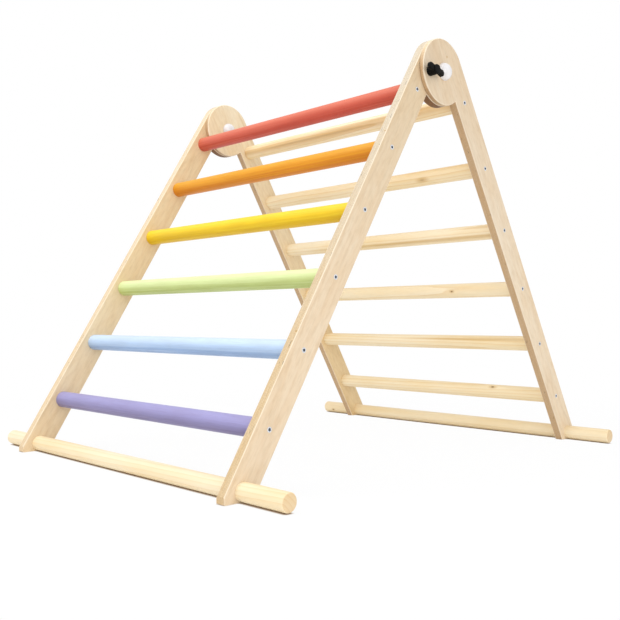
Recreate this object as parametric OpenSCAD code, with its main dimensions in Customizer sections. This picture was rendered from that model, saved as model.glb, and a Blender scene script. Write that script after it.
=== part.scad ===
// Folding climbing triangle for small children.
// Two ladder frames of plywood uprights and round rungs turn on each other at
// the top. X runs along the rungs, +Y is the rear frame's side and +Z is up.
// The origin lies on the floor, under the middle of the object.

/* [Uprights] */
// Width of an upright, across its face
board_w = 54; // [45:1:62]
// Thickness of the plywood
board_t = 18; // [15:1:22]
// Radius of the round head at the top of an upright
head_r = 62; // [60:1:66]
// Rounding of the plywood's long edges
edge_r = 2.5; // [1:0.5:4]
// Depth of the upright cut that blunts the toe
toe_back = 7; // [4:0.5:12]
// Rounding between the toe's cut and its sole
toe_r = 2; // [1:0.5:4]
// Lean of each frame from the vertical when the triangle is open
lean = 31.2; // [25:0.1:36]
// Depth milled off a rear head, which laps over the front one
head_lap = 9.5; // [7:0.5:11]
// Air between the two heads of one side
head_gap = 1; // [0.8:0.1:2]

/* [Rungs and bars] */
// Diameter of the climbing rungs
rung_d = 32; // [26:1:36]
// Length of a rung between the uprights
rung_len = 624; // [450:1:800]
// Distance from the pivot to the first rung, along the upright
rung_first = 73.5; // [71:0.5:80]
// Distance from one rung to the next
rung_pitch = 137; // [110:1:142]
// Diameter of the floor bars
bar_d = 29; // [26:1:34]
// Distance from the pivot to the floor bar, along the upright
bar_down = 857.5; // [850:0.5:900]
// Length of bar that stands out beyond an upright
bar_out = 100; // [40:5:140]
// Rounding of a bar's end
bar_round = 3; // [1:0.5:5]
// Height of the bars above the floor
bar_lift = 1; // [1:0.5:6]

/* [Rung screws] */
// Diameter of a screw's countersunk head
screw_head_d = 9; // [7:0.5:11]
// Diameter of a screw's shank
screw_d = 5; // [4:0.5:6]
// Length of a screw
screw_len = 60; // [40:5:80]

/* [Pivot] */
// Diameter of the pivot bolts
pivot_d = 10; // [8:1:12]
// Diameter of the domed caps
cap_d = 33; // [30:1:36]
// Height of the domed caps
cap_h = 14; // [12:0.5:16]

/* [Lock] */
// Distance of the clamp bolt from the pivot
lock_radius = 45.3; // [44:0.1:47]
// Height of the clamp bolt above the pivot when the triangle is open
lock_rise = -8.6; // [-14:0.2:4]
// Diameter of the clamp bolt
lock_d = 8; // [6:1:8]
// Diameter of the wing knob's hub
hub_d = 18.4; // [17:0.2:22]
// Height of the wing knob
knob_h = 20; // [18:1:24]
// Span over the knob's two wings
wing_span = 45; // [40:1:46]
// Radius of a wing's round end
wing_r = 5.8; // [4.6:0.1:7]
// Thickness of a wing, along the bolt
wing_t = 6.4; // [5:0.1:8]
// Turn of the wings from the level, as the knob stands in the photo
wing_turn = -12.5; // [-90:0.5:90]

/* [Hidden] */

$fn = 64;
rung_count = 6;

birch = [0.90, 0.81, 0.66];
pine = [0.94, 0.85, 0.63];
steel = [0.75, 0.77, 0.80];
cap_white = [0.95, 0.95, 0.95];
knob_black = [0.06, 0.06, 0.06];

// Clearances: fixed pieces, running fits, and faces of pieces that move apart
fixed_gap = 0.05;
running_gap = 0.08;
sliding_gap = 0.3;
// Air round a front head inside the rear one's pocket
pocket_gap = 0.5;

// The rungs lie on the upright's middle line, which misses the pivot by rung_off
rung_off = head_r - board_w / 2;
pivot_h = bar_down * cos(lean) - rung_off * sin(lean) + bar_d / 2 + bar_lift;
frame_shift = board_t - head_lap + head_gap;
fold_angle = 2 * lean;
leg_len = (pivot_h + head_r * sin(lean)) / cos(lean);
inner_x = rung_len / 2;
outer_x = inner_x + board_t;

// The clamp bolt's place, seen from the pivot
lock_y = -sqrt(lock_radius * lock_radius - lock_rise * lock_rise);
lock_angle = atan2(lock_rise, lock_y);
slot_end_r = lock_d / 2 + sliding_gap;
slot_half = slot_end_r + 0.2;

washer_t = 1.5;
washer_r = cap_d / 2 - 2.2;
nut_h = 6;
nut_across = 16;
cap_wall = 1.8;

// Lock bolt's head, and the knob's edges, crown, wing level and brass insert
lock_head_h = 5;
lock_head_across = 13;
wing_edge = 1.5;
knob_crown = 2;
wing_drop = 2.6;
insert_d = 12;

// Outer faces of one side's two heads, from the middle of the gap between them
front_face = -head_gap / 2 - board_t;
rear_face = head_gap / 2 + board_t - head_lap;

// ---- places -------------------------------------------------------------

// A frame's own axes: -Y is its outer edge, +Z runs up along the upright
module in_front() {
  translate([-frame_shift / 2, 0, pivot_h])
    rotate([-lean, 0, 0])
      children();
}

module in_rear() {
  translate([frame_shift / 2, 0, pivot_h])
    rotate([lean, 0, 0])
      mirror([0, 1, 0])
        children();
}

// The near side is +X, the far side its mirror image
module on_side(side) {
  mirror([side > 0 ? 0 : 1, 0, 0])
    children();
}

// ---- shared shapes ------------------------------------------------------

module rounded_rect(size, r) {
  for (x = [r, size.x - r], y = [r, size.y - r])
    translate([x, y])
      circle(r);
  translate([r, 0])
    square([size.x - 2 * r, size.y]);
  translate([0, r])
    square([size.x, size.y - 2 * r]);
}

// A cylinder along X from x0 to x1
module rod_x(x0, x1, d) {
  translate([x0, 0, 0])
    rotate([0, 90, 0])
      cylinder(h = x1 - x0, d = d);
}

// ---- uprights -----------------------------------------------------------

// Round head: a disc with rounded rims
module head_disc() {
  rotate([0, 90, 0])
    rotate_extrude($fn = 128)
      intersection() {
        translate([-head_r, 0])
          rounded_rect([2 * head_r, board_t], edge_r);
        square([head_r, board_t]);
      }
}

// Straight leg, its outer edge tangent to the head
module leg() {
  translate([0, -head_r, -leg_len])
    linear_extrude(height = leg_len)
      rounded_rect([board_t, board_w], edge_r);
}

// Everything below the floor, in a frame's own axes
module below_floor() {
  rotate([lean, 0, 0])
    translate([-board_t, -2 * bar_down, -pivot_h - 200])
      cube([3 * board_t, 4 * bar_down, 200]);
}

// Blunts the pointed toe with an upright cut, rounded where it meets the sole
module toe_cut() {
  tip_y = -(leg_len * sin(lean) + head_r * cos(lean));
  cut_y = tip_y + toe_back;
  cut_h = toe_back / tan(lean) + 2;
  rotate([lean, 0, 0])
    translate([-1, 0, -pivot_h])
      rotate([90, 0, 90])
        linear_extrude(height = board_t + 2)
          difference() {
            polygon([
              [tip_y - 3, -1], [cut_y + toe_r, -1], [cut_y + toe_r, toe_r],
              [cut_y, toe_r], [cut_y, cut_h], [tip_y - 3, cut_h]
            ]);
            translate([cut_y + toe_r, toe_r])
              circle(toe_r);
          }
}

module upright_blank() {
  difference() {
    union() {
      head_disc();
      leg();
    }
    below_floor();
    toe_cut();
  }
}

module screw_hole() {
  translate([0, 0, -board_t - 1])
    cylinder(h = board_t + 2, d = screw_d + 2 * fixed_gap);
  translate([0, 0, -(screw_head_d - screw_d) / 2])
    cylinder(h = (screw_head_d - screw_d) / 2 + 0.01, d1 = screw_d + 2 * fixed_gap, d2 = screw_head_d + 2 * fixed_gap);
}

// Upright with its bar bore, screw holes and pivot hole
module upright(side, pivot_gap) {
  on_side(side)
    difference() {
      translate([inner_x, 0, 0])
        upright_blank();
      translate([0, -rung_off, -bar_down])
        rod_x(inner_x - 1, outer_x + 1, bar_d + 2 * fixed_gap);
      rod_x(inner_x - 1, outer_x + 1, pivot_d + 2 * pivot_gap);
      for (i = [0 : rung_count - 1])
        at_rung(i)
          translate([outer_x, 0, 0])
            rotate([0, 90, 0])
              screw_hole();
    }
}

module at_rung(i) {
  translate([0, -rung_off, -(rung_first + i * rung_pitch)])
    children();
}

// Round pocket that takes the front head, milled off a rear head's -X face
module lap_pocket(side) {
  start = side > 0 ? inner_x : -outer_x;
  translate([start - 1, 0, 0])
    rotate([0, 90, 0])
      cylinder(h = head_lap + 1, r = head_r + pocket_gap, $fn = 128);
}

// Rear upright: its head is thinned and turns on the pivot bolt
module rear_upright(side) {
  in_rear()
    difference() {
      upright(side, running_gap);
      lap_pocket(side);
    }
}

// The clamp bolt's line through the near heads
module on_lock() {
  translate([inner_x, lock_y, pivot_h + lock_rise])
    children();
}

// Arc slot for the clamp bolt, from open to folded
module lock_slot() {
  depth = 3 * board_t;
  translate([inner_x - board_t, 0, pivot_h])
    rotate([0, 90, 0])
      rotate([0, 0, 90]) {
        rotate([0, 0, lock_angle - fold_angle])
          rotate_extrude(angle = fold_angle, $fn = 128)
            translate([lock_radius - slot_half, 0])
              square([2 * slot_half, depth]);
        for (a = [lock_angle, lock_angle - fold_angle])
          rotate([0, 0, a])
            translate([lock_radius, 0, 0])
              cylinder(h = depth, r = slot_end_r);
      }
}

module front_upright_near() {
  color(birch)
    difference() {
      in_front()
        upright(1, fixed_gap);
      lock_slot();
    }
}

module front_upright_far() {
  color(birch)
    in_front()
      upright(-1, fixed_gap);
}

module rear_upright_near() {
  color(birch)
    difference() {
      rear_upright(1);
      on_lock()
        rod_x(-board_t, 3 * board_t, lock_d + 2 * fixed_gap);
    }
}

module rear_upright_far() {
  color(birch)
    rear_upright(-1);
}

// ---- rungs and bars -----------------------------------------------------

// A rung butts against both uprights and has a pilot hole in each end
module rung(i) {
  pilot = screw_len - board_t + 1;
  at_rung(i)
    difference() {
      rod_x(-inner_x, inner_x, rung_d);
      for (side = [-1, 1])
        on_side(side)
          rod_x(inner_x - pilot, inner_x + 1, screw_d + 2 * fixed_gap);
    }
}

module front_rung(i, paint) {
  color(paint)
    in_front()
      rung(i);
}

module rear_rung(i) {
  color(pine)
    in_rear()
      rung(i);
}

// Floor bar with rounded ends
module bar() {
  half = outer_x + bar_out;
  translate([-half, -rung_off, -bar_down])
    rotate([0, 90, 0])
      rotate_extrude()
        intersection() {
          translate([-bar_d / 2, 0])
            rounded_rect([bar_d, 2 * half], bar_round);
          square([bar_d / 2, 2 * half]);
        }
}

module front_bar() {
  color(pine)
    in_front()
      bar();
}

module rear_bar() {
  color(pine)
    in_rear()
      bar();
}

// ---- rung screws --------------------------------------------------------

// Countersunk wood screw: its head's face at Z = 0, its point downwards
module screw() {
  head_h = (screw_head_d - screw_d) / 2;
  tip = screw_d;
  difference() {
    union() {
      translate([0, 0, -head_h])
        cylinder(h = head_h, d1 = screw_d, d2 = screw_head_d);
      translate([0, 0, -screw_len + tip])
        cylinder(h = screw_len - tip - head_h + 0.01, d = screw_d);
      translate([0, 0, -screw_len])
        cylinder(h = tip, d1 = 0.6, d2 = screw_d);
    }
    translate([0, 0, -1.8])
      cylinder(h = 2, d = 4, $fn = 6);
  }
}

module screw_row(side) {
  color(steel)
    on_side(side)
      for (i = [0 : rung_count - 1])
        at_rung(i)
          translate([outer_x, 0, 0])
            rotate([0, 90, 0])
              screw();
}

// ---- pivot hardware -----------------------------------------------------

// Hexagon of a bolt head or nut along X
module hex_x(x0, x1, across) {
  translate([x0, 0, 0])
    rotate([0, 90, 0])
      rotate([0, 0, 30])
        cylinder(h = x1 - x0, d = across / cos(30), $fn = 6);
}

// Places a side's hardware: its own +X runs from the front frame's head to the rear's
module at_heads(side) {
  translate([side * (inner_x + board_t / 2) + head_lap / 2, 0, pivot_h])
    children();
}

module pivot_bolt(side) {
  color(steel)
    at_heads(side) {
      hex_x(front_face - washer_t - nut_h, front_face - washer_t, nut_across);
      rod_x(front_face - washer_t - 0.01, rear_face + sliding_gap + washer_t + nut_h + 1, pivot_d);
    }
}

module pivot_nut(side) {
  start = rear_face + sliding_gap + washer_t;
  color(steel)
    at_heads(side)
      difference() {
        hex_x(start, start + nut_h, nut_across);
        rod_x(start - 1, start + nut_h + 1, pivot_d + 2 * fixed_gap);
      }
}

module washer(x0, thick, outer_r, hole_d) {
  difference() {
    rod_x(x0, x0 + thick, 2 * outer_r);
    rod_x(x0 - 1, x0 + thick + 1, hole_d);
  }
}

module pivot_washers() {
  color(steel)
    for (side = [-1, 1])
      at_heads(side) {
        washer(front_face - washer_t, washer_t, washer_r, pivot_d + 2 * fixed_gap);
        washer(rear_face + sliding_gap, washer_t, washer_r, pivot_d + 2 * fixed_gap);
      }
}

// Thin slip washers between the heads
module head_spacers() {
  color(cap_white)
    for (side = [-1, 1])
      at_heads(side)
        washer(-head_gap / 2, head_gap - sliding_gap, 20, pivot_d + 2 * fixed_gap);
}

// Domed cap over a nut or bolt head, its rim at X = 0 and its crown at +X
module cap() {
  dome_r = (cap_d * cap_d / 4 + cap_h * cap_h) / (2 * cap_h);
  color(cap_white)
    rotate([0, 90, 0])
      rotate_extrude()
        difference() {
          intersection() {
            translate([0, cap_h - dome_r])
              circle(dome_r, $fn = 96);
            square([cap_d, cap_h + 1]);
          }
          translate([0, cap_h - dome_r])
            circle(dome_r - cap_wall, $fn = 96);
        }
}

module front_cap(side) {
  at_heads(side)
    translate([front_face, 0, 0])
      mirror([1, 0, 0])
        cap();
}

module rear_cap(side) {
  at_heads(side)
    translate([rear_face + sliding_gap, 0, 0])
      cap();
}

// ---- lock ---------------------------------------------------------------

module at_lock() {
  at_heads(1)
    translate([0, lock_y, lock_rise])
      children();
}

module lock_bolt() {
  color(steel)
    at_lock() {
      hex_x(front_face - sliding_gap - washer_t - lock_head_h, front_face - sliding_gap - washer_t, lock_head_across);
      rod_x(front_face - sliding_gap - washer_t - 0.01, rear_face + knob_h - knob_crown - 1, lock_d);
    }
}

module lock_washer() {
  color(steel)
    at_lock()
      washer(front_face - sliding_gap - washer_t, washer_t, lock_d / 2 + 6, lock_d + 2 * fixed_gap);
}

// One wing of the knob: a round end and a web that narrows towards the hub
module wing() {
  reach = wing_span / 2 - wing_r;
  root_r = 0.62 * wing_r;
  tangent = acos((root_r - wing_r) / reach);
  translate([reach, 0, 0])
    rotate_extrude()
      intersection() {
        translate([-wing_r, 0])
          rounded_rect([2 * wing_r, wing_t], wing_edge);
        square([wing_r, wing_t]);
      }
  translate([0, 0, wing_edge / 3])
    linear_extrude(height = wing_t - 2 * wing_edge / 3)
      polygon([
        [root_r * cos(tangent), root_r * sin(tangent)],
        [reach + wing_r * cos(tangent), (wing_r - wing_edge / 3) * sin(tangent)],
        [reach + wing_r * cos(tangent), -(wing_r - wing_edge / 3) * sin(tangent)],
        [root_r * cos(tangent), -root_r * sin(tangent)]
      ]);
}

// Hub of the knob, its upper edge rounded
module hub() {
  rotate_extrude()
    intersection() {
      translate([-hub_d / 2, 0])
        rounded_rect([hub_d, knob_h], wing_edge);
      square([hub_d / 2, knob_h]);
    }
}

// Wing knob: a hub and two wings opposite each other
module lock_knob() {
  color(knob_black)
    at_lock()
      translate([rear_face + sliding_gap, 0, 0])
        rotate([0, 90, 0])
          difference() {
            union() {
              hub();
              for (a = [90, 270])
                rotate([0, 0, wing_turn + a])
                  translate([0, 0, knob_h - wing_t - wing_drop])
                    wing();
            }
            translate([0, 0, -1])
              cylinder(h = knob_h - knob_crown + 1, d = insert_d);
          }
}

module knob_insert() {
  color("gold")
    at_lock()
      washer(rear_face + sliding_gap, knob_h - knob_crown, insert_d / 2 - fixed_gap, lock_d + 2 * running_gap);
}

// ---- nodes --------------------------------------------------------------

front_upright_near();
front_upright_far();
rear_upright_near();
rear_upright_far();
front_rung(0, [0.86, 0.41, 0.33]);  // rung_red
front_rung(1, [0.95, 0.62, 0.20]);  // rung_orange
front_rung(2, [0.98, 0.82, 0.20]);  // rung_yellow
front_rung(3, [0.75, 0.84, 0.52]);  // rung_green
front_rung(4, [0.62, 0.78, 0.90]);  // rung_blue
front_rung(5, [0.68, 0.63, 0.82]);  // rung_purple
rear_rung(0);  // rear_rung_1
rear_rung(1);  // rear_rung_2
rear_rung(2);  // rear_rung_3
rear_rung(3);  // rear_rung_4
rear_rung(4);  // rear_rung_5
rear_rung(5);  // rear_rung_6
front_bar();
rear_bar();
in_front() screw_row(1);  // front_screws_near
in_front() screw_row(-1);  // front_screws_far
in_rear() screw_row(1);  // rear_screws_near
in_rear() screw_row(-1);  // rear_screws_far
pivot_bolt(1);  // pivot_bolt_near
pivot_bolt(-1);  // pivot_bolt_far
pivot_nut(1);  // pivot_nut_near
pivot_nut(-1);  // pivot_nut_far
pivot_washers();
head_spacers();
rear_cap(1);  // cap_near_outer
front_cap(1);  // cap_near_inner
rear_cap(-1);  // cap_far_inner
front_cap(-1);  // cap_far_outer
lock_bolt();
lock_washer();
lock_knob();
knob_insert();
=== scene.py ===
# %% [markdown]
# # A folding climbing triangle
# Two plywood ladders with round rungs turn on round heads. The CAD frame
# already has every piece at its real place and size, so it is loaded first and
# stays as it is. The steps below give the wood, paint, metal and plastic their
# finishes, and remake the small turned and moulded pieces in finer detail.

# %% Load the CAD frame
import math

import bmesh
import bpy
from mathutils import Matrix, Vector


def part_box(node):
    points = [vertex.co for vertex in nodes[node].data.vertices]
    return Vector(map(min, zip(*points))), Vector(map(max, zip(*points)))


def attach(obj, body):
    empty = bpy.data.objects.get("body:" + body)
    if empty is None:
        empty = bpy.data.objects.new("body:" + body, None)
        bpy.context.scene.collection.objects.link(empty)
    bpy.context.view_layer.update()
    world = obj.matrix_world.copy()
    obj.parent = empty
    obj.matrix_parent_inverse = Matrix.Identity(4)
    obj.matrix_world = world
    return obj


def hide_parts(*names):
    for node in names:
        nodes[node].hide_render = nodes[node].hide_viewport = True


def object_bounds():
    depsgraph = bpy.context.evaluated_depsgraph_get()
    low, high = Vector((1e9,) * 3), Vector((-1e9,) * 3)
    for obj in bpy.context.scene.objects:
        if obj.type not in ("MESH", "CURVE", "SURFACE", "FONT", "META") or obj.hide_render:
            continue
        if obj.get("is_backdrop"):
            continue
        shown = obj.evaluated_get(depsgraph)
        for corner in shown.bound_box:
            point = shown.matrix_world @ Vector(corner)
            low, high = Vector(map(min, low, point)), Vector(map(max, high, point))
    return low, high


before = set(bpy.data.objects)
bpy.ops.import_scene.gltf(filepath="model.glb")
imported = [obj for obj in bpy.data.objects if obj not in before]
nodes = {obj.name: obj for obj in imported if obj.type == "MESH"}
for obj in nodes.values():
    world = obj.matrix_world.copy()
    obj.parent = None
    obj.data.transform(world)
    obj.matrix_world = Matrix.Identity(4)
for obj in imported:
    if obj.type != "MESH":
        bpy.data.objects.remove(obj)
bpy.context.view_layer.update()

# %% [markdown]
# ## Sizes that the steps share
# Places are read from the CAD nodes, so a change there is followed here. The
# lean of the ladders is the one angle that no box gives away: it comes from
# the CAD source, as the board's thickness does, and turns the wood grain so
# that it runs along each upright.

# %% Read the places
MM = 0.001
LEAN = math.radians(31.2)
BOARD_THICKNESS = 18 * MM
PLIES = 13
PAINTED = ("red", "orange", "yellow", "green", "blue", "purple")


def middle(node):
    low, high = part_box(node)
    return (low + high) / 2


pivot = middle("pivot_washers")
pivot.x = 0
print("pivot height in mm:", round(pivot.z / MM, 1))

# %% [markdown]
# ## The camera
# The photograph was taken from beside the painted ladder, with the lens about
# 26 cm above the floor and tilted up by one degree. A camera can be placed by
# hand with a target, but a fit to the screws, edges and bar ends gives its
# angles, so its three axes are written straight into its matrix.

# %% Place the camera
CAMERA_AZIMUTH = math.radians(45.479)
CAMERA_ELEVATION = math.radians(-1.006)
CAMERA_ROLL = math.radians(0.244)
CAMERA_DISTANCE = 1725.97 * MM
CAMERA_SIDE = (-12.44 * MM, -442.29 * MM)
CAMERA_LENS = 46.04
FRONT_FRAME_X = -4.75 * MM


def camera_axes(azimuth, elevation, roll):
    """Right, up and back of a camera that looks at the object."""
    back = Vector((math.sin(azimuth) * math.cos(elevation),
                   -math.cos(azimuth) * math.cos(elevation),
                   math.sin(elevation)))
    level = Vector((math.cos(azimuth), math.sin(azimuth), 0))
    upright = back.cross(level)
    right = level * math.cos(roll) + upright * math.sin(roll)
    up = upright * math.cos(roll) - level * math.sin(roll)
    return right, up, back


right, up, back = camera_axes(CAMERA_AZIMUTH, CAMERA_ELEVATION, CAMERA_ROLL)
target = Vector((FRONT_FRAME_X, 0, pivot.z))
place = (target + back * CAMERA_DISTANCE
         + right * CAMERA_SIDE[0] + up * CAMERA_SIDE[1])
camera = bpy.data.objects.new("camera", bpy.data.cameras.new("camera"))
bpy.context.scene.collection.objects.link(camera)
bpy.context.scene.camera = camera
axes = Matrix((right, up, back)).transposed().to_4x4()
camera.matrix_world = Matrix.Translation(place) @ axes
camera.data.sensor_width = 36
camera.data.lens = CAMERA_LENS
print("camera at", [round(v, 3) for v in place])

# %% [markdown]
# ## Small helpers for node materials
# Every finish here is a node tree. Short helpers keep the recipes readable: one
# starts a material, one adds a node and plugs its inputs, and the others stand
# for the nodes that every recipe uses, such as a ramp, a mix or a noise. The
# last one draws a knot, which the plywood and the pine share.

# %% Node helpers
def start_material(name):
    material = bpy.data.materials.new(name)
    material.use_nodes = True
    tree = material.node_tree
    return material, tree, tree.nodes["Principled BSDF"]


def add(tree, kind, settings=None, **inputs):
    """Adds a node. An input is a value, or a socket that it is linked to.

    Inputs go by name, or by number, as in i0, where names are shared.
    """
    node = tree.nodes.new("ShaderNode" + kind)
    for key, value in (settings or {}).items():
        setattr(node, key, value)
    for key, value in inputs.items():
        numbered = key[0] == "i" and key[1:].isdigit()
        index = int(key[1:]) if numbered else key.replace("_", " ")
        plug(tree, node.inputs[index], value)
    return node


def plug(tree, socket, value):
    if isinstance(value, bpy.types.NodeSocket):
        tree.links.new(value, socket)
    else:
        socket.default_value = value


def grey(value):
    return (value, value, value, 1)


def srgb(code):
    """A colour written as six hexadecimal digits, as linear light."""
    parts = [int(code[i:i + 2], 16) / 255 for i in (0, 2, 4)]
    return (*(p / 12.92 if p < 0.04045 else ((p + 0.055) / 1.055) ** 2.4
              for p in parts), 1)


def ramp(tree, factor, stops):
    """A colour ramp: stops are (position, colour)."""
    node = add(tree, "ValToRGB", Fac=factor)
    elements = node.color_ramp.elements
    while len(elements) < len(stops):
        elements.new(0.5)
    for element, (position, colour) in zip(elements, stops):
        element.position = position
        element.color = colour if len(colour) == 4 else (*colour, 1)
    return node.outputs["Color"]


def maths(tree, operation, a, b=0.0):
    return add(tree, "Math", {"operation": operation}, i0=a, i1=b).outputs[0]


def times(tree, a, b):
    return maths(tree, "MULTIPLY", a, b)


def inverse(tree, value):
    return maths(tree, "SUBTRACT", 1.0, value)


def vector_maths(tree, operation, a, b):
    return add(tree, "VectorMath", {"operation": operation}, i0=a, i1=b).outputs[0]


def length(tree, offset):
    node = add(tree, "VectorMath", {"operation": "LENGTH"}, i0=offset)
    return node.outputs["Value"]


def ramp_value(tree, value, start, end):
    """0 below start, 1 above end, a smooth step between."""
    settings = {"interpolation_type": "SMOOTHSTEP", "clamp": True}
    return add(tree, "MapRange", settings, i0=value, i1=start, i2=end,
               i3=0.0, i4=1.0).outputs[0]


def mix(tree, factor, a, b, blend="MIX"):
    node = add(tree, "Mix", {"data_type": "RGBA", "blend_type": blend},
               i0=factor, i6=a, i7=b)
    return node.outputs[2]


def tint(tree, share, colour, by):
    """Multiplies a colour by another one where share is 1."""
    return mix(tree, share, colour, mix(tree, 1.0, colour, by, "MULTIPLY"))


def mix_value(tree, factor, a, b):
    return add(tree, "Mix", {"data_type": "FLOAT"}, i0=factor, i2=a,
               i3=b).outputs[0]


def place_of(tree, centre, turn=(0, 0, 0)):
    """Object coordinates, centred on a piece and then turned."""
    coordinates = add(tree, "TexCoord").outputs["Object"]
    centred = vector_maths(tree, "SUBTRACT", coordinates, centre)
    return add(tree, "Mapping", Vector=centred, Rotation=turn).outputs[0]


def noise(tree, place, scale, detail, roughness, distortion=0.0):
    """Noise with one scale, or with a scale for each axis."""
    if isinstance(scale, tuple):
        place, scale = vector_maths(tree, "MULTIPLY", place, scale), 1.0
    return add(tree, "TexNoise", Vector=place, Scale=scale, Detail=detail,
               Roughness=roughness, Distortion=distortion).outputs["Fac"]


def bump(tree, shader, height, strength, depth):
    node = add(tree, "Bump", Height=height, Strength=strength, Distance=depth)
    tree.links.new(node.outputs["Normal"], shader.inputs["Normal"])


def surface_direction(tree):
    """The surface's own normal, before any bump, as x, y and z."""
    normal = add(tree, "TexCoord").outputs["Normal"]
    return add(tree, "SeparateXYZ", Vector=normal).outputs


def add_knot(tree, straight, wood, x, y, z, size, squeeze, dark):
    """A dark knot in a paler halo, at millimetres from the piece's middle."""
    offset = vector_maths(tree, "SUBTRACT", straight, (x * MM, y * MM, z * MM))
    squeezed = vector_maths(tree, "MULTIPLY", offset, (squeeze, 1, 1))
    reach = maths(tree, "DIVIDE", length(tree, squeezed), size * MM)
    halo = inverse(tree, ramp_value(tree, reach, 0.5, 2.6))
    core = inverse(tree, ramp_value(tree, reach, 0.35, 0.8))
    wood = mix(tree, times(tree, halo, 0.55), wood, srgb("c79c50"))
    return mix(tree, times(tree, core, dark), wood, srgb("5d3a1e"))


# %% [markdown]
# ## Birch plywood
# The uprights are cut from 18 mm birch plywood with 13 plies. A picture of the
# face could be laid on each side, but then edges, bores and the round heads
# would not match it. A solid pattern is used instead: the depth in the board
# picks the ply, every other ply has its fibres across, and a ply looks darker
# where its fibres meet the surface end on. The edges that face the inside of
# the triangle are tinted browner. Painted light and shade are laid over this:
# a tint from foot to head, darker outer edges low down, the darkest rim under
# each head, and paler roundings as a painted highlight.

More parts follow.
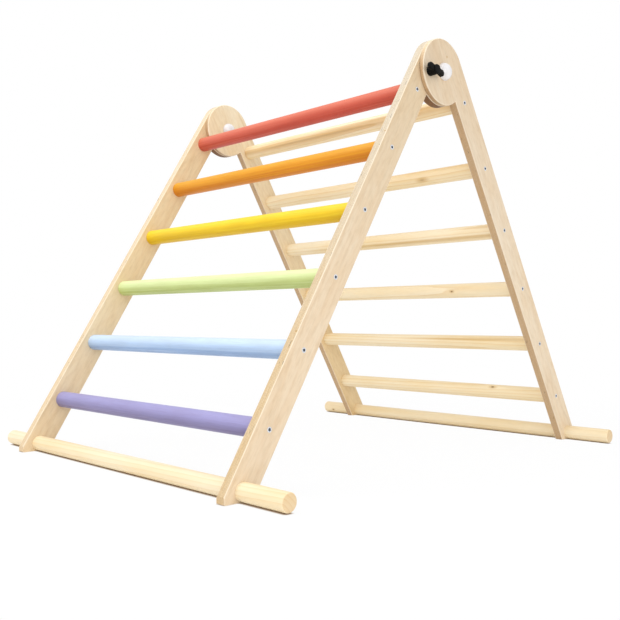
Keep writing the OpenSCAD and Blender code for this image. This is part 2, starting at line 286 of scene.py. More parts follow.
# %% Birch plywood material
def birch_plywood(name, inner_x, turn, inward, seed, painted_light_tones, head_underside_shade, outer_edge_shade, flecks):
    material, tree, shader = start_material(name)
    board = place_of(tree, (inner_x, pivot.y, pivot.z), (turn, 0, 0))
    xyz = add(tree, "SeparateXYZ", Vector=board)
    depth = times(tree, xyz.outputs[0], PLIES / BOARD_THICKNESS)
    crossed = maths(tree, "PINGPONG", maths(tree, "FLOOR", depth), 1.0)
    within = maths(tree, "FRACT", depth)
    down_board = times(tree, xyz.outputs[2], -1.0)

    # Fibres along the upright on the faces, and across it in every other ply
    shifted = vector_maths(tree, "ADD", board, (0, seed, seed * 0.7))
    figure = noise(tree, shifted, (25, 70, 9), 4.0, 0.6, 1.4)
    fibre = noise(tree, shifted, (700, 900, 26), 3.0, 0.6)
    across = noise(tree, shifted, (700, 30, 900), 3.0, 0.6)
    cloud = noise(tree, shifted, (3, 9, 3), 2.0, 0.5)
    veneer = ramp(tree, figure, [(0.28, srgb("e5c9a4")), (0.48, srgb("ecd5b5")),
                                 (0.64, srgb("f1dfc4")), (0.80, srgb("e9d0ac"))])
    veneer = mix(tree, 0.5, veneer,
                 ramp(tree, cloud, [(0.35, srgb("e8cda8")), (0.65, srgb("f2e1c8"))]))
    pores = ramp(tree, fibre, [(0.30, grey(0.86)), (0.46, grey(1.0))])
    veneer = mix(tree, 0.5, veneer, pores, "MULTIPLY")

    # Faint arches where the veneer's growth rings come to the surface
    sheet = noise(tree, shifted, (4, 15, 2.0), 1.0, 0.4)
    arch = maths(tree, "PINGPONG", times(tree, sheet, 11.0), 1.0)
    arches = ramp(tree, arch, [(0.0, (0.84, 0.76, 0.66)), (0.30, grey(1.0))])
    veneer = mix(tree, 0.28, veneer, arches, "MULTIPLY")
    mottle = noise(tree, shifted, (60, 140, 45), 2.0, 0.6)
    flame = ramp(tree, mottle, [(0.35, (0.90, 0.88, 0.84)), (0.55, grey(1.0))])
    veneer = mix(tree, 0.6, veneer, flame, "MULTIPLY")
    # Painted light and shade: the veneer is tinted from one tone low on the board to
    # another at the head
    low_painted_light, head_painted_light = ((*tone, 1) for tone in painted_light_tones)
    tone = mix(tree, ramp_value(tree, down_board, 0.05, 0.60), head_painted_light, low_painted_light)
    veneer = mix(tree, 1.0, veneer, tone, "MULTIPLY")

    # How much a ply shows its fibre ends: the surface direction against theirs
    surface = add(tree, "TexCoord").outputs["Normal"]
    turned = add(tree, "Mapping", {"vector_type": "NORMAL"}, Vector=surface,
                 Rotation=(turn, 0, 0)).outputs[0]
    facing = add(tree, "SeparateXYZ", Vector=turned)
    ends = mix_value(tree, crossed, maths(tree, "ABSOLUTE", facing.outputs[2]),
                     maths(tree, "ABSOLUTE", facing.outputs[1]))
    grain = mix_value(tree, crossed, fibre, across)
    long_ply = ramp(tree, grain, [(0.32, srgb("e6cda6")), (0.62, srgb("f6e8cf"))])
    end_ply = ramp(tree, across, [(0.32, srgb("d3b186")), (0.66, srgb("ead0a8"))])
    edge = mix(tree, times(tree, ends, 0.9), long_ply, end_ply)
    glue = ramp(tree, within, [(0.0, grey(0.72)), (0.09, grey(1.0)),
                               (0.93, grey(1.0)), (1.0, grey(0.72))])
    edge = mix(tree, 0.8, edge, glue, "MULTIPLY")
    voids = noise(tree, shifted, (260, 60, 60), 1.0, 0.4)
    holes = times(tree, crossed, ramp_value(tree, voids, 0.70, 0.73))
    edge = mix(tree, times(tree, holes, 0.7), edge, (0.10, 0.06, 0.03, 1))
    # Edges that face the inside of the triangle are tinted browner
    inside = times(tree, facing.outputs[1], inward)
    inward_brown = times(tree, ramp_value(tree, inside, 0.25, 0.9), 0.85)
    edge = tint(tree, inward_brown, edge, (0.64, 0.53, 0.42, 1))

    # Painted light and shade: the outer edges are tinted cooler near the head and darker
    # and browner towards the floor, with specks
    outside = ramp_value(tree, times(tree, inside, -1.0), 0.25, 0.9)
    edge_shade_and_specks = mix(tree, ramp_value(tree, down_board, 0.10, 0.80),
                  (0.84, 0.90, 1.0, 1), (0.86, 0.80, 0.68, 1))
    specks = noise(tree, shifted, (500, 420, 380), 2.0, 0.7)
    speckled = ramp(tree, specks, [(0.38, grey(0.80)), (0.58, grey(1.0))])
    edge_shade_and_specks = mix(tree, 0.7, edge_shade_and_specks, speckled, "MULTIPLY")
    edge = tint(tree, times(tree, outside, outer_edge_shade), edge, edge_shade_and_specks)

    # Painted shade: the downward rim under a head is tinted the darkest of all
    downward = times(tree, surface_direction(tree)[2], -1.0)
    shade_under_head = ramp_value(tree, downward, 0.55, 0.85)
    at_head = inverse(tree, ramp_value(tree, down_board, 0.07, 0.12))
    shade_under_head = times(tree, times(tree, shade_under_head, at_head), head_underside_shade)
    edge = tint(tree, shade_under_head, edge, (0.245, 0.142, 0.066, 1))

    # The outermost ply is the face veneer
    from_middle = maths(tree, "ABSOLUTE", maths(tree, "SUBTRACT", depth, PLIES / 2))
    is_face = ramp_value(tree, from_middle, PLIES / 2 - 0.75, PLIES / 2 - 0.6)
    colour = mix(tree, is_face, edge, veneer)

    # Painted highlight: the roundings are tinted paler than the faces beside them
    flat = maths(tree, "ABSOLUTE", facing.outputs[0])
    arris_highlight = times(tree, ramp_value(tree, flat, 0.15, 0.45),
                    inverse(tree, ramp_value(tree, flat, 0.8, 0.97)))
    colour = mix(tree, times(tree, arris_highlight, 0.5), colour, srgb("f8eeda"))
    straight = place_of(tree, (0, pivot.y, pivot.z))
    for fleck in flecks:
        colour = add_knot(tree, straight, colour, *fleck)
    plug(tree, shader.inputs["Base Color"], colour)
    rough = ramp(tree, fibre, [(0.3, grey(0.62)), (0.7, grey(0.48))])
    plug(tree, shader.inputs["Roughness"], rough)
    plug(tree, shader.inputs["Specular IOR Level"], 0.35)
    relief = mix(tree, is_face, grain, fibre)
    bump(tree, shader, relief, 0.25, 0.15 * MM)
    return material


def give(node_object, material):
    """Puts one material in every slot of a piece."""
    slots = node_object.data.materials
    if len(slots) == 0:
        slots.append(material)
    for index in range(len(slots)):
        slots[index] = material


# Painted light and shade on the veneer: a tint low on the board, then one at the head
BOARD_PAINTED_LIGHT = {"front_near": ((0.95, 0.95, 0.955), (0.87, 0.86, 0.82)),
               "rear_near": ((0.99, 1.02, 1.06), (0.90, 0.91, 0.93)),
               "front_far": ((0.95, 0.92, 0.83), (0.95, 0.92, 0.79)),
               "rear_far": ((0.94, 0.88, 0.70), (1.06, 1.11, 1.10))}
# Small knots: x, y and z from the pivot and size in mm, squeeze, darkness
BOARD_FLECKS = {"front_near": [(321.3, -365.4, -483.7, 1.3, 0.8, 0.9),
                               (321.3, -154.0, -134.7, 1.2, 0.8, 0.9)],
                "rear_near": [(334.8, 9.9, 30.5, 1.4, 1.0, 0.5)]}
for index, (ladder, turn, inward) in enumerate(
        (("front", LEAN, 1.0), ("rear", -LEAN, -1.0))):
    for side in ("near", "far"):
        node = ladder + "_upright_" + side
        low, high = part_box(node)
        seed = 0.31 + index * 1.7 + (0.83 if side == "far" else 0)
        board = ladder + "_" + side
        give(nodes[node], birch_plywood(
            "birch_" + board, low.x, turn, inward, seed, BOARD_PAINTED_LIGHT[board],
            1.0 if ladder == "front" else 0.25, 1.0 if side == "near" else 0.35,
            BOARD_FLECKS.get(board, ())))
print("plywood on 4 uprights, ply thickness in mm:",
      round(BOARD_THICKNESS / PLIES / MM, 2))

# %% [markdown]
# ## Pine
# The bars on the floor and the rear rungs are turned from bare pine. Growth
# rings are cylinders round a pith that lies outside the rod, so a solid ring
# pattern with a slight tilt gives both the long stripes on the side and the
# arcs on the sawn end. Small knots are dark ellipsoids at chosen places.

# %% Pine material
def pine(name, centre, pith, tilt, seed, contrast, knots):
    material, tree, shader = start_material(name)
    rod = place_of(tree, centre, (0, tilt[0], tilt[1]))
    moved = vector_maths(tree, "ADD", rod, (seed, pith[0] * MM, pith[1] * MM))
    sway = noise(tree, moved, (3, 22, 22), 3.0, 0.55)
    swing = noise(tree, moved, (2, 16, 16), 2.0, 0.5)
    swayed = add(tree, "VectorMath", {"operation": "MULTIPLY_ADD"},
                 i0=add(tree, "CombineXYZ", Y=sway, Z=swing).outputs[0],
                 i1=(0, 15 * MM, 13 * MM), i2=moved).outputs[0]
    rings = add(tree, "TexWave", {"wave_type": "RINGS", "rings_direction": "X",
                                  "wave_profile": "SAW"},
                Vector=swayed, Scale=42.0, Distortion=0.0).outputs["Fac"]
    fibre = noise(tree, moved, (16, 800, 800), 3.0, 0.6)
    cloud = noise(tree, moved, (4, 20, 20), 2.0, 0.5)
    wood = ramp(tree, rings, [(0.0, srgb("fbeccb")), (0.55, srgb("f6e2b8")),
                              (0.82, srgb("ebcb90")), (0.95, srgb("dcb06c")),
                              (1.0, srgb("f6e4bd"))])
    wood = mix(tree, contrast, srgb("efdbb4"), wood)
    wood = mix(tree, 0.5, wood, ramp(tree, cloud, [(0.35, srgb("f3dcae")),
                                                  (0.65, srgb("fdf1d6"))]))
    pores = ramp(tree, fibre, [(0.3, grey(0.88)), (0.5, grey(1.0))])
    wood = mix(tree, 0.4, wood, pores, "MULTIPLY")
    straight = place_of(tree, centre)
    for knot in knots:
        wood = add_knot(tree, straight, wood, *knot)
    along = maths(tree, "ABSOLUTE", surface_direction(tree)[0])
    sawn = ramp_value(tree, along, 0.6, 0.95)
    wood = tint(tree, sawn, wood, (0.86, 0.78, 0.70, 1))
    plug(tree, shader.inputs["Base Color"], wood)
    rough = ramp(tree, fibre, [(0.3, grey(0.60)), (0.7, grey(0.46))])
    plug(tree, shader.inputs["Roughness"], rough)
    plug(tree, shader.inputs["Specular IOR Level"], 0.35)
    bump(tree, shader, fibre, 0.3, 0.15 * MM)
    return material


# %% [markdown]
# ## Satin paint
# The front rungs are sprayed in six soft colours. The paint is thin, so the
# wood's fibres still show as fine streaks in the gloss and as a faint change
# of tone. One recipe serves all six, with the colour and the place changed.
# Each paint has a lit copy for upward surfaces and a shaded copy for downward
# ones: painted light from above.

# %% Paint material
# Each paint as painted shade on a downward surface and painted light on an upward one
PAINT_SHADED_AND_LIT = {"red": ("c44e3c", "dc765c"), "orange": ("d68312", "e9a71f"),
                 "yellow": ("e4b90c", "f8d92c"), "green": ("bccb78", "e6f3b6"),
                 "blue": ("9dbce3", "d0e4fb"), "purple": ("857fae", "a49fd0")}


def satin_paint(name, codes, centre, seed):
    material, tree, shader = start_material(name)
    shaded_paint, lit_paint = (srgb(code) for code in codes)
    moved = vector_maths(tree, "ADD", place_of(tree, centre), (seed, seed * 0.3, 0))
    fibre = noise(tree, moved, (22, 700, 700), 3.0, 0.6)
    cloud = noise(tree, moved, (12, 50, 50), 3.0, 0.55)
    orange_peel = noise(tree, moved, 900.0, 2.0, 0.5)
    # Painted light: upward surfaces take the lit copy, downward ones the shaded copy
    painted_top_light = ramp_value(tree, surface_direction(tree)[2], -0.7, 0.95)
    colour = mix(tree, painted_top_light, shaded_paint, lit_paint)
    tone = mix(tree, ramp(tree, cloud, [(0.35, grey(0.0)), (0.65, grey(1.0))]),
               mix(tree, 1.0, colour, (0.93, 0.91, 0.90, 1), "MULTIPLY"), colour)
    tone = mix(tree, ramp(tree, fibre, [(0.34, grey(0.5)), (0.48, grey(0.0))]),
               tone, mix(tree, 1.0, colour, (0.86, 0.82, 0.80, 1), "MULTIPLY"))
    streak = noise(tree, moved, (3, 260, 260), 2.0, 0.6)
    tone = mix(tree, ramp(tree, streak, [(0.50, grey(0.0)), (0.72, grey(0.45))]),
               tone, lit_paint)
    plug(tree, shader.inputs["Base Color"], tone)
    rough = ramp(tree, fibre, [(0.3, grey(0.52)), (0.7, grey(0.42))])
    plug(tree, shader.inputs["Roughness"], rough)
    plug(tree, shader.inputs["Specular IOR Level"], 0.32)
    relief = mix(tree, 0.6, fibre, orange_peel)
    bump(tree, shader, relief, 0.18, 0.12 * MM)
    return material


# %% [markdown]
# ## Turned rods
# Every rung and bar is a turned rod along X. A cone with equal ends is the
# natural start: it is turned onto X, its end edges are bevelled by the real
# rounding, and its long faces are shaded smooth while the ends stay flat.

# %% Rod helper
def finish_mesh(name, bm):
    """Makes an object from a bmesh and frees it."""
    mesh = bpy.data.meshes.new(name)
    bm.to_mesh(mesh)
    bm.free()
    piece = bpy.data.objects.new(name, mesh)
    bpy.context.scene.collection.objects.link(piece)
    return piece


def onto_x():
    """Turns a shape made along Z so that it runs along X."""
    return Matrix.Rotation(math.radians(90), 3, "Y")


def turned_rod(name, node, rounding):
    low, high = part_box(node)
    radius = (high.y - low.y) / 2
    bm = bmesh.new()
    bmesh.ops.create_cone(bm, segments=96, radius1=radius, radius2=radius,
                          depth=high.x - low.x, cap_ends=True)
    bmesh.ops.rotate(bm, matrix=onto_x(), verts=bm.verts)
    ends = [e for e in bm.edges if any(len(f.verts) > 4 for f in e.link_faces)]
    bmesh.ops.bevel(bm, geom=ends, offset=rounding, offset_type="OFFSET",
                    segments=5, profile=0.5, affect="EDGES", material=-1)
    bmesh.ops.translate(bm, vec=(low + high) / 2, verts=bm.verts)
    for face in bm.faces:
        face.smooth = len(face.verts) <= 4
    return finish_mesh(name, bm)


def stand_for(piece, body, slot, *cad_nodes):
    """The piece rides on a body and hides its nodes."""
    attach(piece, body)
    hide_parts(*cad_nodes)


RUNG_ROUNDING = 0.6 * MM
BAR_ROUNDING = 3 * MM

# %% [markdown]
# ## The rungs and the floor bars
# Six painted rungs belong to the front ladder and six bare ones to the rear.
# Each bare rod gets its own pith, tilt and knots, so that no two look alike.

# %% Make the rungs and bars
for index, colour in enumerate(PAINTED):
    node = "rung_" + colour
    rung = turned_rod(node + "_painted", node, RUNG_ROUNDING)
    give(rung, satin_paint("paint_" + colour, PAINT_SHADED_AND_LIT[colour],
                           middle(node), 0.37 * index + 0.1))
    stand_for(rung, "front_frame", "paint_" + colour, node)

# Pith in mm, tilt, seed, contrast of the rings, then the knots and streaks:
# x, y and z from the rod's middle and size in mm, squeeze, darkness
BARE_RODS = {
    "rear_rung_1": ((26, 9), (0.01, 0.02), 0.3, 0.9,
                    [(-60, -15, -4.5, 3.8, 0.012, 0.2),
                     (190, -15, 3, 2.6, 0.012, 0.1)]),
    "rear_rung_2": ((-20, 17), (-0.01, 0.015), 1.1, 0.8,
                    [(184.0, -14.6, -6.5, 3.2, 0.35, 0.2)]),
    "rear_rung_3": ((18, -24), (0.015, -0.01), 2.3, 0.7,
                    [(150, -13, -9.5, 2.4, 0.012, 0.0)]),
    "rear_rung_4": ((-31, -6), (0.01, 0.015), 3.1, 0.7,
                    [(160.0, -15.8, -2.2, 2.0, 0.5, 0.95)]),
    "rear_rung_5": ((14, 22), (-0.01, 0.02), 4.7, 0.8,
                    [(150, -14, 7, 2.0, 0.02, 0.0)]),
    "rear_rung_6": ((-9, 30), (0.015, 0.01), 5.9, 0.7,
                    [(173.5, -11.5, 11.1, 2.6, 0.4, 0.95)]),
    "front_bar": ((22, 26), (0.01, -0.01), 6.4, 0.5, ()),
    "rear_bar": ((-28, 15), (-0.01, 0.01), 7.2, 0.4,
                 [(-394.0, -13.0, -6.0, 2.2, 0.6, 0.95)]),
}
for node, (pith, tilt, seed, contrast, knots) in BARE_RODS.items():
    is_bar = node.endswith("_bar")
    rod = turned_rod(node + "_turned", node, BAR_ROUNDING if is_bar else RUNG_ROUNDING)
    give(rod, pine("pine_" + node, middle(node), pith, tilt, seed,
                   contrast, knots))
    body = "front_frame" if node == "front_bar" else "rear_frame"
    stand_for(rod, body, "pine", node)
print("rods made:", len(PAINTED) + len(BARE_RODS))

# %% [markdown]
# ## Metal and plastic
# The small parts are zinc-plated steel, brass, nylon, white cap plastic and
# black knob plastic. Each is a Principled shader with its own roughness, and
# a fine pattern that breaks the gloss as handling and moulding do.

# %% Metal and plastic materials
def hard_finish(name, code, roughness, grain, depth, metallic=0.0, spread=0.08,
                shine=0.5):
    """A metal or plastic with slightly uneven gloss and a fine surface grain."""
    material, tree, shader = start_material(name)
    coordinates = add(tree, "TexCoord").outputs["Object"]
    fine = noise(tree, coordinates, grain, 3.0, 0.6)
    broad = noise(tree, coordinates, 60.0, 2.0, 0.5)
    light = srgb(code)
    shade = mix(tree, ramp(tree, broad, [(0.35, grey(0.0)), (0.65, grey(1.0))]),
                mix(tree, 1.0, light, (0.88, 0.88, 0.89, 1), "MULTIPLY"), light)
    plug(tree, shader.inputs["Base Color"], shade)
    gloss = ramp(tree, fine, [(0.3, grey(roughness + spread)),
                              (0.7, grey(roughness - spread))])
    plug(tree, shader.inputs["Roughness"], gloss)
    plug(tree, shader.inputs["Metallic"], metallic)
    plug(tree, shader.inputs["Specular IOR Level"], shine)
    bump(tree, shader, fine, 0.3, depth)
    return material


zinc = hard_finish("zinc_steel", "c9ccd2", 0.30, 1400.0, 0.04 * MM, 1.0)
brass = hard_finish("plain_brass", "c9a24b", 0.32, 1400.0, 0.04 * MM, 1.0)
nylon = hard_finish("plain_nylon", "e6e5e0", 0.55, 900.0, 0.05 * MM)
cap_plastic = hard_finish("white_cap", "efedee", 0.22, 700.0, 0.015 * MM, 0.0, 0.04)
knob_plastic = hard_finish("black_knob", "080706", 0.6, 1800.0, 0.08 * MM, shine=0.12)
screw_zinc = hard_finish("screw_zinc", "eceff4", 0.24, 1400.0, 0.02 * MM, 1.0, 0.04)
# Painted shade: the rim's band and the recess get darker metal than the head
screw_rim_shade = hard_finish("screw_rim_shade", "c6cbd3", 0.34, 1400.0, 0.02 * MM, 1.0)
recess_shade = hard_finish("screw_recess_shade", "6b737d", 0.5, 900.0, 0.03 * MM, 1.0)

HARDWARE = {"pivot_bolt_near": zinc, "pivot_bolt_far": zinc, "pivot_nut_near": zinc,
            "pivot_nut_far": zinc, "pivot_washers": zinc, "lock_bolt": zinc,
            "lock_washer": zinc, "head_spacers": nylon, "knob_insert": brass}
for node, material in HARDWARE.items():
    give(nodes[node], material)
print("hardware nodes finished:", len(HARDWARE))

# %% [markdown]
# ## The rung screws
# One countersunk screw holds each end of a rung. Seen from close by, its head
# has a chamfered rim and a six-lobed recess. It starts as a disc. Its rim is
# extruded down into the cone, the shank and the point, and the end is filled.
# The disc is then inset to the recess, the inner loop is pushed in and out six
# times round, and the recess is extruded down in three steps.

# %% Make the screws
HEAD_RADIUS = 4.5 * MM
HEAD_DEPTH = 2 * MM
SHANK_RADIUS = 2.5 * MM
SCREW_LENGTH = 60 * MM
TIP_LENGTH = 5 * MM
TIP_SCALE = 0.12
RIM_WIDTH = 0.4 * MM
RIM_RISE = 0.12 * MM
RECESS_INSET = 1.55 * MM
LOBES = 6
LOBE_SIZE = 0.17
RECESS_STEPS = ((0.25 * MM, 0.93), (1.5 * MM, 0.8), (0.4 * MM, 0.3))


def shade_by_angle(bm, degrees=35):
    """Smooth faces, with edges sharper than the angle kept crisp."""
    for face in bm.faces:
        face.smooth = True
    for edge in bm.edges:
        edge.smooth = edge.calc_face_angle(0) < math.radians(degrees)


def push_down(bm, face, depth, scale):
    """Extrudes a face along -Z and scales its loop about the middle."""
    face = bmesh.ops.extrude_discrete_faces(bm, faces=[face])["faces"][0]
    bmesh.ops.translate(bm, vec=(0, 0, -depth), verts=face.verts)
    bmesh.ops.scale(bm, vec=(scale, scale, 1), verts=face.verts)
    return face


def model_screw():
    """One screw along Z, its head's face at 0 and its point below."""
    bm = bmesh.new()
    made = bmesh.ops.create_circle(bm, cap_ends=True, segments=48,
                                   radius=HEAD_RADIUS)["verts"]
    face = made[0].link_faces[0]
    if face.normal.z < 0:
        face.normal_flip()
    rim = list(face.edges)
    for scale, drop in ((SHANK_RADIUS / HEAD_RADIUS, HEAD_DEPTH),
                        (1.0, SCREW_LENGTH - HEAD_DEPTH - TIP_LENGTH),
                        (TIP_SCALE, TIP_LENGTH)):
        ring = bmesh.ops.extrude_edge_only(bm, edges=rim)["geom"]
        verts = [g for g in ring if isinstance(g, bmesh.types.BMVert)]
        bmesh.ops.translate(bm, vec=(0, 0, -drop), verts=verts)
        bmesh.ops.scale(bm, vec=(scale, scale, 1), verts=verts)
        rim = [g for g in ring if isinstance(g, bmesh.types.BMEdge)
               and all(v in verts for v in g.verts)]
    bmesh.ops.contextual_create(bm, geom=rim)
    rim_faces = bmesh.ops.inset_region(bm, faces=[face], thickness=RIM_WIDTH,
                                       depth=RIM_RISE)["faces"]
    # Painted shade: the rim's band gets the darker rim metal
    for wall in rim_faces:
        wall.material_index = 2
    bmesh.ops.inset_region(bm, faces=[face], thickness=RECESS_INSET, depth=0)
    for vert in face.verts:
        around = math.atan2(vert.co.y, vert.co.x)
        lobe = 1 + LOBE_SIZE * math.cos(LOBES * around)
        vert.co.x *= lobe
        vert.co.y *= lobe
    for depth, scale in RECESS_STEPS:
        face = push_down(bm, face, depth, scale)
        # Painted shade: the recess walls get the darker recess metal
        for wall in {f for e in face.edges for f in e.link_faces}:
            wall.material_index = 1
    bmesh.ops.translate(bm, vec=(0, 0, -RIM_RISE), verts=bm.verts)
    bmesh.ops.recalc_face_normals(bm, faces=bm.faces)
    shade_by_angle(bm)
    mesh = bpy.data.meshes.new("screw")
    bm.to_mesh(mesh)
    bm.free()
    return mesh


def screw_row(name, rungs, upright, side):
    """A copy of the screw at each rung, its head flush with the upright."""
    low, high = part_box(upright)
    face_x = high.x if side > 0 else low.x
    bm = bmesh.new()
    for rung in rungs:
        count = len(bm.verts)
        bm.from_mesh(screw)
        verts = list(bm.verts)[count:]
        bmesh.ops.rotate(bm, verts=verts, matrix=Matrix.Rotation(
            side * math.radians(90), 3, "Y"))
        centre = middle(rung)
        bmesh.ops.translate(bm, verts=verts, vec=(face_x, centre.y, centre.z))
    row = finish_mesh(name, bm)
    for material in (screw_zinc, recess_shade, screw_rim_shade):
        row.data.materials.append(material)
    return row


screw = model_screw()
FRONT_RUNGS = ["rung_" + colour for colour in PAINTED]
REAR_RUNGS = ["rear_rung_%d" % number for number in range(1, 7)]
for ladder, rungs in (("front", FRONT_RUNGS), ("rear", REAR_RUNGS)):
    for side, sign in (("near", 1), ("far", -1)):
        node = ladder + "_screws_" + side
        row = screw_row(node + "_lobed", rungs, ladder + "_upright_" + side, sign)
        stand_for(row, ladder + "_frame", "zinc_steel", node)
print("screws made:", 4 * len(FRONT_RUNGS))

# %% [markdown]
# ## The domed caps
# White caps hide the nut and the bolt head of each pivot. A cap is a body of
# revolution: half of its outline is drawn as a few edges and spun once round
# the pivot. Its foot is a short straight rim under the dome.

# %% Make the caps
CAP_FOOT = 1.6 * MM
CAP_DOME_SHARE = 0.985
CAP_CHAMFER = 0.3 * MM
CAP_STEP = 0.2 * MM
CAPS = ("cap_near_outer", "cap_near_inner", "cap_far_inner", "cap_far_outer")


def spin_outline(outline, steps):
    """A closed solid from (radius, height) pairs, spun round Z."""
    bm = bmesh.new()
    verts = [bm.verts.new((radius, 0, height)) for radius, height in outline]
    edges = [bm.edges.new(pair) for pair in zip(verts, verts[1:])]
    bmesh.ops.spin(bm, geom=verts + edges, cent=(0, 0, 0), axis=(0, 0, 1),
                   angle=math.tau, steps=steps, use_merge=True, use_duplicate=False)
    bmesh.ops.remove_doubles(bm, verts=bm.verts, dist=0.001 * MM)
    bmesh.ops.recalc_face_normals(bm, faces=bm.faces)
    return bm


def cap(name, node, body):
    low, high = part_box(node)
    radius, height = (high.y - low.y) / 2, high.x - low.x
    dome = height - CAP_FOOT
    arc = [(radius * CAP_DOME_SHARE * math.cos(math.radians(a)),
            CAP_FOOT + dome * math.sin(math.radians(a))) for a in range(0, 90, 6)]
    outline = [(0, CAP_STEP), (radius - CAP_CHAMFER, 0), (radius, CAP_CHAMFER),
               (radius, CAP_FOOT - CAP_STEP)] + arc + [(0, height)]
    bm = spin_outline(outline, 96)
    shade_by_angle(bm, 30)
    outward = 1 if node in ("cap_near_outer", "cap_far_inner") else -1
    bmesh.ops.rotate(bm, matrix=Matrix.Rotation(outward * math.radians(90), 3, "Y"),
                     verts=bm.verts)
    base = low.x if outward > 0 else high.x
    bmesh.ops.translate(bm, vec=(base, middle(node).y, middle(node).z),
                        verts=bm.verts)
    piece = finish_mesh(name, bm)
    give(piece, cap_plastic)
    stand_for(piece, body, "white_cap", node)


for node in CAPS:
    cap(node + "_domed", node, "front_frame")
print("caps made:", len(CAPS))

# %% [markdown]
# ## The wing knob
# The knob on the near head clamps the two heads together. Its hub is spun from
# half an outline. The two wings are one plate: an outline of two round ends
# that narrow towards the hub is filled, extruded, and bevelled all round.

# %% Make the knob
HUB_RADIUS = 9.2 * MM
WING_LOW = 11 * MM
WING_THICKNESS = 6.4 * MM
WING_RADIUS = 6.3 * MM
WING_ROOT = 4.8 * MM
WING_TURN = math.radians(-12.5)
WING_ROUNDING = 1.5 * MM
HUB_CHAMFER = 0.6 * MM
SKIRT_HEIGHT = 8 * MM
CROWN_RADIUS = HUB_RADIUS * 0.95
CROWN_ROUNDING = 2 * MM
CROWN_RISE = 0.4 * MM


def wing_outline(reach, steps=14):
    """Corners of the plate: an arc at each end, straight flanks between."""
    tangent = math.acos((WING_ROOT - WING_RADIUS) / reach)
    corners = []
    for end in (1, -1):
        for step in range(steps + 1):
            angle = tangent * (2 * step / steps - 1)
            corners.append((end * (reach + WING_RADIUS * math.cos(angle)),
                            end * WING_RADIUS * math.sin(angle)))
        corners.append((0, end * WING_ROOT))
    return corners


low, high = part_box("lock_knob")
centre, height = middle("lock_knob"), high.x - low.x
reach = max(high.y - low.y, high.z - low.z) / 2 / math.cos(WING_TURN) - WING_RADIUS
bm = bmesh.new()
corners = [bm.verts.new((x, y, WING_LOW)) for x, y in wing_outline(reach)]
plate = bm.faces.new(corners)
top = bmesh.ops.extrude_face_region(bm, geom=[plate])["geom"]
bmesh.ops.translate(bm, vec=(0, 0, WING_THICKNESS),
                    verts=[g for g in top if isinstance(g, bmesh.types.BMVert)])
bmesh.ops.recalc_face_normals(bm, faces=bm.faces)
rims = [e for e in bm.edges if any(len(f.verts) > 4 for f in e.link_faces)]
bmesh.ops.bevel(bm, geom=rims, offset=WING_ROUNDING, offset_type="OFFSET",
                segments=4, profile=0.5, affect="EDGES", material=-1)
hub = bpy.data.meshes.new("hub")
crown_foot = height - CROWN_RISE - CROWN_ROUNDING
crown = [(CROWN_RADIUS - CROWN_ROUNDING * (1 - math.cos(math.radians(a))),
          crown_foot + CROWN_ROUNDING * math.sin(math.radians(a)))
         for a in range(0, 91, 15)]
skirt = [(0, 0), (HUB_RADIUS - HUB_CHAMFER, 0), (HUB_RADIUS, HUB_CHAMFER),
         (HUB_RADIUS, SKIRT_HEIGHT)]
spun = spin_outline(skirt + crown + [(0, height)], 64)
spun.to_mesh(hub)
spun.free()
bm.from_mesh(hub)
shade_by_angle(bm, 30)
bmesh.ops.rotate(bm, matrix=Matrix.Rotation(WING_TURN + math.radians(90), 3, "Z"),
                 verts=bm.verts)
bmesh.ops.rotate(bm, matrix=onto_x(), verts=bm.verts)
bmesh.ops.translate(bm, vec=(low.x, centre.y, centre.z), verts=bm.verts)
knob = finish_mesh("lock_knob_winged", bm)
give(knob, knob_plastic)
stand_for(knob, "knob", "black_knob", "lock_knob")
print("knob span in mm:", round(2 * (reach + WING_RADIUS) / MM, 1))

# %% [markdown]
# ## Floor and backdrop
# A plain pale floor keeps the object's soft shadow. The camera, glossy rays
# and transmitted rays see the backdrop as white, while the light that it sheds
# is lowered until each colour renders about as it is written. To the camera
# the floor is clear but for its shadows: a faint share of the lamps' shadow,
# and a dark brown contact shadow painted from occlusion where the object
# nearly touches it. It is clear since the folded rear ladder ends below the
# floor, as the front one stays where it stands, and would otherwise be cut off.

# %% Floor and world
def camera_or_gloss(tree):
    """1 for rays that see the background directly or in a gloss, else 0."""
    path = add(tree, "LightPath")
    seen = maths(tree, "MAXIMUM", path.outputs["Is Camera Ray"],
                 path.outputs["Is Glossy Ray"])
    return maths(tree, "MAXIMUM", seen, path.outputs["Is Transmission Ray"])


AMBIENT = 0.70
FLOOR_SIZE = 12.0
SHADE_SHARE = 0.06
SHADE_FADES = (0.7, 1.6)
CONTACT_REACH = 5 * MM

world = bpy.data.worlds.new("studio")
bpy.context.scene.world = world
world.use_nodes = True
tree = world.node_tree
tree.nodes.clear()
strength = mix_value(tree, camera_or_gloss(tree), AMBIENT, 1.0)
backdrop = add(tree, "Background", Color=(1, 1, 1, 1), Strength=strength)
output = add(tree, "OutputWorld")
tree.links.new(backdrop.outputs[0], output.inputs["Surface"])

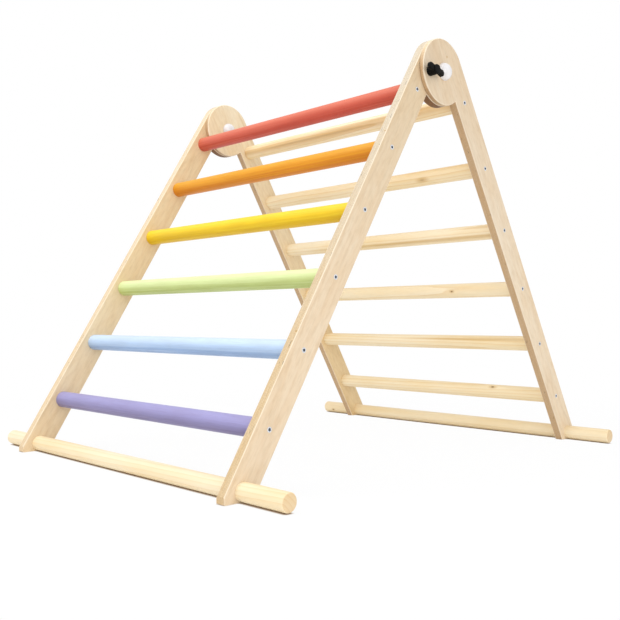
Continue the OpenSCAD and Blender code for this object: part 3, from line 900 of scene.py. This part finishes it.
bm = bmesh.new()
bmesh.ops.create_grid(bm, x_segments=1, y_segments=1, size=FLOOR_SIZE / 2)
floor = finish_mesh("floor", bm)
material, tree, shader = start_material("pale_floor")
tree.nodes.remove(shader)
reach = length(tree, add(tree, "TexCoord").outputs["Object"])
near = inverse(tree, ramp_value(tree, reach, *SHADE_FADES))
contact = add(tree, "AmbientOcclusion", Distance=CONTACT_REACH).outputs["AO"]
shade_share = times(tree, near, SHADE_SHARE)
lit = add(tree, "BsdfDiffuse", Color=(0.95, 0.95, 0.96, 1)).outputs[0]
# Painted contact shadow: occlusion turns the floor dark brown under the object
painted_contact_shadow = ramp(tree, contact, [(0.0, (0.085, 0.046, 0.02)),
                                   (0.3, (0.33, 0.21, 0.12)),
                                   (0.6, (0.80, 0.76, 0.72)), (0.9, (1, 1, 1))])
clear = add(tree, "BsdfTransparent", Color=painted_contact_shadow).outputs[0]
seen = add(tree, "MixShader", i0=shade_share, i1=clear, i2=lit).outputs[0]
bounce = add(tree, "BsdfDiffuse", Color=(0.92, 0.91, 0.90, 1)).outputs[0]
surface = add(tree, "MixShader", i0=camera_or_gloss(tree), i1=bounce,
              i2=seen).outputs[0]
tree.links.new(surface, tree.nodes["Material Output"].inputs["Surface"])
floor.data.materials.append(material)
floor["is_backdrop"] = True
print("floor side in metres:", FLOOR_SIZE)

# %% [markdown]
# ## Lamps
# The photograph has soft light from in front and above, and almost no hard
# shadow. Sun or spot lamps would draw edges that it doesn't have, so three
# large area lamps are used: a key over the painted side, a wide one beside the
# near uprights, and a faint one over the heads. The camera doesn't see them.

# %% Place the lamps
def lamp(name, position, aim, size, watts):
    data = bpy.data.lights.new(name, "AREA")
    data.shape = "SQUARE"
    data.size = size
    data.energy = watts
    light = bpy.data.objects.new(name, data)
    bpy.context.scene.collection.objects.link(light)
    light.location = position
    light.rotation_mode = "QUATERNION"
    towards = Vector(aim) - Vector(position)
    light.rotation_quaternion = towards.to_track_quat("-Z", "Y")
    light.visible_camera = False


lamp("key", (-0.3, -1.7, 2.4), (0, -0.2, 0.6), 1.8, 34)
lamp("side", (3.2, -0.9, 0.9), (0, 0, 0.35), 2.2, 30)
lamp("top", (0.2, -0.2, 2.9), (0, 0, 0.4), 1.6, 7)
print("lamps placed:", len(bpy.data.lights))

# %% [markdown]
# ## Last settings
# The Standard view shows colours as they are written. The last line prints
# the size of the dressed object's box.

# %% Finish
bpy.context.scene.view_settings.view_transform = "Standard"

low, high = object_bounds()
print("visual box in metres:", [round(v, 3) for v in high - low])
